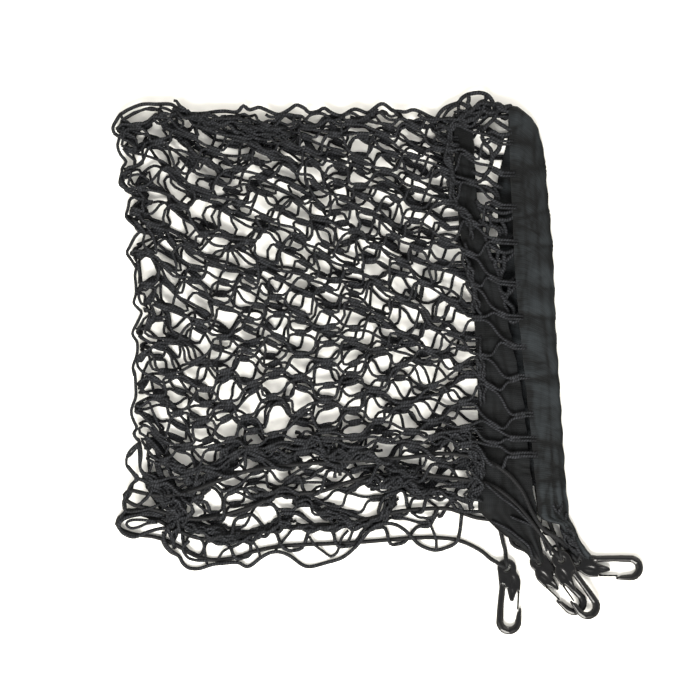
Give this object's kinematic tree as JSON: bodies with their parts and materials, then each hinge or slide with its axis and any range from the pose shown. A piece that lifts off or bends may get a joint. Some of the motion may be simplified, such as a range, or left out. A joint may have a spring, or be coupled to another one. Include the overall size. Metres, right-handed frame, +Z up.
{
  "type": "cargo net",
  "caption": "Elastic envelope cargo net of black knotless mesh with cloth hems and plastic snap hooks, folded once and lying flat.",
  "frame": {"origin": "bottom centre of the net as it lies, on the surface that it rests on", "axes": "+Z up from the surface; +Y towards the fold; +X from the pocket's closed edge towards the hems of its mouth"},
  "size_m": [0.4216, 0.4329, 0.0158],
  "materials": {
    "mesh_yarn": "black knitted polyester cord",
    "hem_cloth": "gathered black woven cloth",
    "elastic_cord": "smooth braided elastic cord",
    "hook_plastic": "glossy moulded black plastic"
  },
  "bodies": {
    "root": {"net": "mesh_yarn", "back_hem": "hem_cloth", "front_hem": "hem_cloth", "side_cord_low": "elastic_cord", "side_cord_high": "elastic_cord", "back_hem_cord_low": "elastic_cord", "back_hem_cord_high": "elastic_cord", "front_hem_cord_low": "elastic_cord", "front_hem_cord_high": "elastic_cord", "hook_1": "hook_plastic", "hook_2": "hook_plastic", "hook_3": "hook_plastic", "hook_4": "hook_plastic"},
    "gate_1": {"gate_1": "hook_plastic"},
    "gate_2": {"gate_2": "hook_plastic"},
    "gate_3": {"gate_3": "hook_plastic"},
    "gate_4": {"gate_4": "hook_plastic"}
  },
  "joints": [
    {"name": "gate_1_swing", "type": "hinge", "parent": "root", "child": "gate_1", "pos_m": [0.1113, -0.1824, 0.0026], "axis": [0, 0, -1], "range_deg": [0, 14], "stiffness_Nm_per_rad": 0.01, "springref_deg": -5.73},
    {"name": "gate_2_swing", "type": "hinge", "parent": "root", "child": "gate_2", "pos_m": [0.13396, -0.17874, 0.0026], "axis": [0, 0, 1], "range_deg": [0, 14], "stiffness_Nm_per_rad": 0.01, "springref_deg": -5.73},
    {"name": "gate_3_swing", "type": "hinge", "parent": "root", "child": "gate_3", "pos_m": [0.147, -0.17726, 0.0082], "axis": [0, 0, 1], "range_deg": [0, 14], "stiffness_Nm_per_rad": 0.01, "springref_deg": -5.73},
    {"name": "gate_4_swing", "type": "hinge", "parent": "root", "child": "gate_4", "pos_m": [0.17645, -0.1691, 0.0026], "axis": [0, 0, 1], "range_deg": [0, 14], "stiffness_Nm_per_rad": 0.01, "springref_deg": -5.73}
  ]
}
